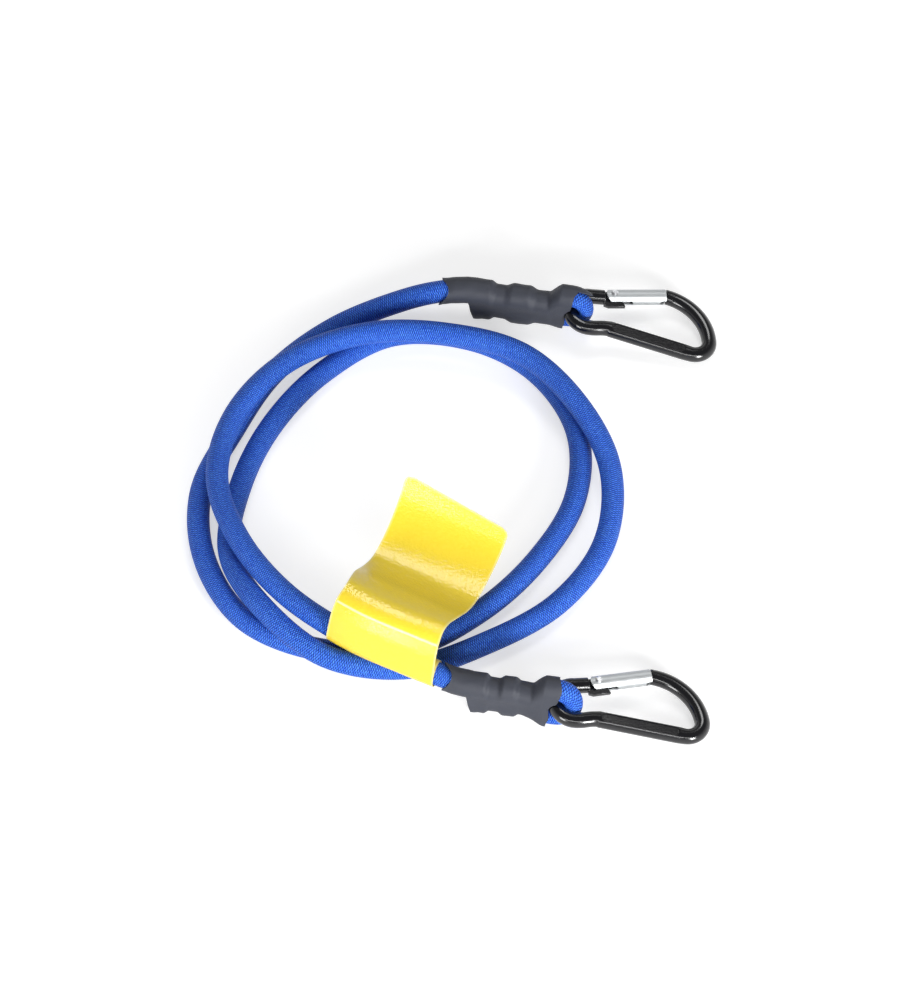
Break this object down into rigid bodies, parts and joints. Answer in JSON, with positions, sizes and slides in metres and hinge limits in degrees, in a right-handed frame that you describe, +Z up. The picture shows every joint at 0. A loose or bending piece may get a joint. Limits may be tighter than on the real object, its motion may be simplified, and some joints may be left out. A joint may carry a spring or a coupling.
{
  "type": "bungee cord",
  "caption": "Round elastic cord in a blue braided sheath, lying loosely coiled, with a sleeved folded eye at each end holding a snap hook and a film label wrapped round the cord.",
  "frame": {"origin": "on the ground under the middle of the box round both sleeved eyes and hooks (the free cord and its label left out), as the part lies coiled", "axes": "+X from the sleeves towards the hooks, +Y from the end with the label to the other end, +Z up from the ground"},
  "size_m": [0.2341, 0.2402, 0.0419],
  "materials": {
    "braid": "woven polyester braid, saturated mid blue, fine rows of stitches",
    "rubber": "natural latex strand, matt",
    "film": "yellow printed film under clear laminate, print left out",
    "sleeve": "shrunk tube, dark slate grey, soft sheen",
    "band": "crimped zinc-plated steel",
    "hook": "glossy black anodised aluminium",
    "gate": "bare folded aluminium, satin",
    "steel": "bright steel"
  },
  "bodies": {
    "cord_and_sleeves": {"cord_sheath": "braid", "cord_core": "rubber", "label": "film", "far_eye_sheath": "braid", "far_eye_core": "rubber", "far_mouth_band": "band", "far_eye_band": "band", "far_sleeve": "sleeve", "near_eye_sheath": "braid", "near_eye_core": "rubber", "near_mouth_band": "band", "near_eye_band": "band", "near_sleeve": "sleeve"},
    "far_hook": {"far_hook_body": "hook", "far_gate_rivet": "steel"},
    "far_gate": {"far_hook_gate": "gate", "far_latch_pin": "steel", "far_gate_spring": "steel"},
    "far_plunger": {"far_gate_plunger": "steel"},
    "near_hook": {"near_hook_body": "hook", "near_gate_rivet": "steel"},
    "near_gate": {"near_hook_gate": "gate", "near_latch_pin": "steel", "near_gate_spring": "steel"},
    "near_plunger": {"near_gate_plunger": "steel"}
  },
  "joints": [
    {"name": "far_hook_swing", "type": "hinge", "parent": "cord_and_sleeves", "child": "far_hook", "pos_m": [-0.00305, 0.10519, 0.01374], "axis": [-0.1736, -0.9848, 0], "range_deg": [-80, 98]},
    {"name": "far_gate_hinge", "type": "hinge", "parent": "far_hook", "child": "far_gate", "pos_m": [0.01641, 0.11295, 0.01083], "axis": [-0.159, 0.028, -0.9869], "range_deg": [0, 28], "stiffness_Nm_per_rad": 0.05, "springref_deg": -28.65},
    {"name": "far_plunger_slide", "type": "slide", "parent": "far_gate", "child": "far_plunger", "axis": [0.9806, 0.1202, -0.1545], "range_m": [0, 0.0026], "deforming": ["far_gate_spring"]},
    {"name": "near_hook_swing", "type": "hinge", "parent": "cord_and_sleeves", "child": "near_hook", "pos_m": [-0.01205, -0.10361, 0.01374], "axis": [-0.1564, -0.9877, 0], "range_deg": [-80, 98]},
    {"name": "near_gate_hinge", "type": "hinge", "parent": "near_hook", "child": "near_gate", "pos_m": [0.00621, -0.09437, 0.01102], "axis": [-0.1597, 0.0253, -0.9868], "range_deg": [0, 28], "stiffness_Nm_per_rad": 0.05, "springref_deg": -28.65},
    {"name": "near_plunger_slide", "type": "slide", "parent": "near_gate", "child": "near_plunger", "axis": [0.9584, 0.2434, -0.1488], "range_m": [0, 0.0026], "deforming": ["near_gate_spring"]}
  ],
  "couplings": [
    {"joint": "far_plunger_slide", "follows": "far_gate_hinge", "m_per_rad": 0.0052},
    {"joint": "near_plunger_slide", "follows": "near_gate_hinge", "m_per_rad": 0.0052}
  ]
}
